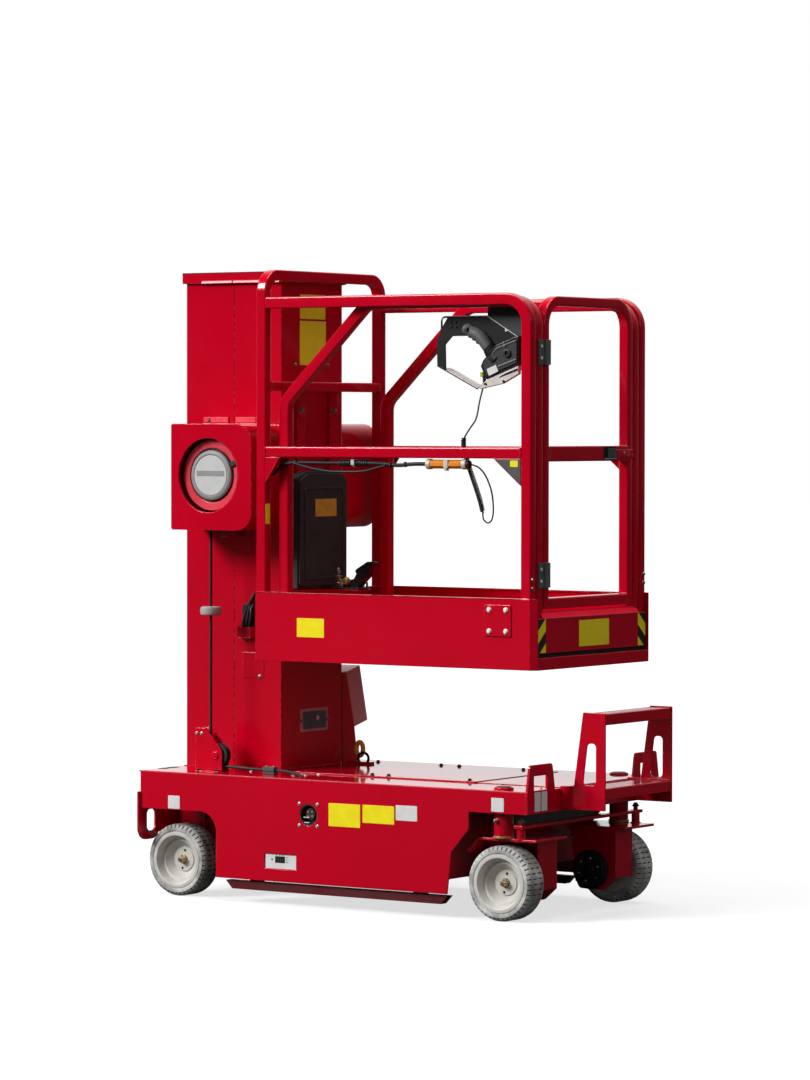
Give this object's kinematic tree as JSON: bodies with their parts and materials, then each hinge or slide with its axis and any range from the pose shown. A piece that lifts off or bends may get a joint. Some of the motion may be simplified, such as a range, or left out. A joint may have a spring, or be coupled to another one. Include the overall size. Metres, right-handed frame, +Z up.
{
  "type": "vertical mast lift",
  "caption": "Self-propelled work platform with a telescoping box mast, a railed basket with slide-out deck and gate, and steered front wheels.",
  "frame": {"origin": "on the floor, below the middle of the machine's overall box", "axes": "+X forward, towards the gate and the steered wheels; +Y left; +Z up"},
  "size_m": [1.631, 0.79, 1.992],
  "materials": {
    "red_paint": "gloss",
    "grey_tyre": "matte",
    "rim_grey": "satin",
    "black_plastic": "matte",
    "black_steel": "satin",
    "dark_steel": "brushed",
    "grey_plastic": "matte",
    "cable_rubber": "matte",
    "orange_plastic": "matte",
    "box_grey": "satin"
  },
  "bodies": {
    "chassis": {"side_panels": "red_paint", "deck_plate": "red_paint", "front_plate": "red_paint", "rear_plate": "red_paint", "mast_base_frame": "red_paint", "mast_core": "dark_steel", "power_box": "red_paint", "rear_axle_brackets": "red_paint", "kingpin_housings": "red_paint", "floor_guards": "red_paint", "entry_step": "red_paint", "pulley_bracket": "red_paint", "deck_pulley": "black_plastic", "cable_clamps": "grey_plastic", "reel_cable": "cable_rubber", "deck_cable": "cable_rubber", "control_stand": "red_paint", "ground_control": "box_grey"},
    "mast_section_2": {"mast_section_2": "dark_steel"},
    "mast_section_3": {"mast_section_3": "dark_steel"},
    "mast_section_4": {"mast_section_4": "dark_steel"},
    "platform": {"mast_sleeve": "red_paint", "mast_cap": "red_paint", "reel_housing": "red_paint", "cable_reel": "grey_plastic", "carriage_plate": "red_paint", "basket_floor": "red_paint", "side_frames": "red_paint", "rear_arch": "red_paint", "left_housing": "red_paint", "manual_box": "black_plastic", "slide_lock": "black_steel", "rail_harness": "cable_rubber", "harness_couplings": "orange_plastic", "cord_tail": "cable_rubber"},
    "extension": {"extension_frames": "red_paint", "extension_floor": "red_paint", "hinge_leaves": "black_steel", "controller_bracket": "black_steel", "controller": "black_plastic", "cord_lead": "cable_rubber", "cord_coil": "cable_rubber"},
    "gate": {"gate_frame": "red_paint", "gate_hinges": "black_steel"},
    "fork_right": {"fork_right": "red_paint", "wheel_motor_right": "black_steel"},
    "fork_left": {"fork_left": "red_paint", "wheel_motor_left": "black_steel"},
    "tie_rod": {"tie_rod": "red_paint"},
    "wheel_rear_right": {"tyre_rear_right": "grey_tyre", "rim_rear_right": "rim_grey"},
    "wheel_rear_left": {"tyre_rear_left": "grey_tyre", "rim_rear_left": "rim_grey"},
    "wheel_front_right": {"tyre_front_right": "grey_tyre", "rim_front_right": "rim_grey"},
    "wheel_front_left": {"tyre_front_left": "grey_tyre", "rim_front_left": "rim_grey"}
  },
  "joints": [
    {"name": "platform_lift", "type": "slide", "parent": "chassis", "child": "platform", "axis": [0, 0, 1], "range_m": [0, 5.2], "deforming": ["reel_cable"]},
    {"name": "mast_section_2_lift", "type": "slide", "parent": "chassis", "child": "mast_section_2", "axis": [0, 0, 1], "range_m": [0, 1.3702]},
    {"name": "mast_section_3_lift", "type": "slide", "parent": "chassis", "child": "mast_section_3", "axis": [0, 0, 1], "range_m": [0, 2.7404]},
    {"name": "mast_section_4_lift", "type": "slide", "parent": "chassis", "child": "mast_section_4", "axis": [0, 0, 1], "range_m": [0, 4.1106]},
    {"name": "extension_slide", "type": "slide", "parent": "platform", "child": "extension", "axis": [1, 0, 0], "range_m": [0, 0.5]},
    {"name": "gate_swing", "type": "hinge", "parent": "extension", "child": "gate", "pos_m": [0.6405, -0.262, 1.4], "axis": [0, 0, -1], "range_deg": [0, 100]},
    {"name": "steer_right", "type": "hinge", "parent": "chassis", "child": "fork_right", "pos_m": [0.5395, -0.335, 0.3], "axis": [0, 0, 1], "range_deg": [-35, 35]},
    {"name": "steer_left", "type": "hinge", "parent": "chassis", "child": "fork_left", "pos_m": [0.5395, 0.335, 0.3], "axis": [0, 0, 1], "range_deg": [-35, 35]},
    {"name": "tie_rod_turn", "type": "hinge", "parent": "fork_right", "child": "tie_rod", "pos_m": [0.6015, -0.335, 0.289], "axis": [0, 0, 1], "range_deg": [-35, 35]},
    {"name": "spin_rear_right", "type": "hinge", "parent": "chassis", "child": "wheel_rear_right", "pos_m": [-0.6985, -0.3, 0.115], "axis": [0, 1, 0], "continuous": true},
    {"name": "spin_rear_left", "type": "hinge", "parent": "chassis", "child": "wheel_rear_left", "pos_m": [-0.6985, 0.3, 0.115], "axis": [0, 1, 0], "continuous": true},
    {"name": "spin_front_right", "type": "hinge", "parent": "fork_right", "child": "wheel_front_right", "pos_m": [0.5395, -0.32, 0.115], "axis": [0, 1, 0], "continuous": true},
    {"name": "spin_front_left", "type": "hinge", "parent": "fork_left", "child": "wheel_front_left", "pos_m": [0.5395, 0.32, 0.115], "axis": [0, 1, 0], "continuous": true}
  ],
  "couplings": [
    {"joint": "mast_section_2_lift", "follows": "platform_lift", "ratio": 0.2635},
    {"joint": "mast_section_3_lift", "follows": "platform_lift", "ratio": 0.527},
    {"joint": "mast_section_4_lift", "follows": "platform_lift", "ratio": 0.7905},
    {"joint": "steer_left", "follows": "steer_right", "ratio": 1},
    {"joint": "tie_rod_turn", "follows": "steer_right", "ratio": -1}
  ]
}
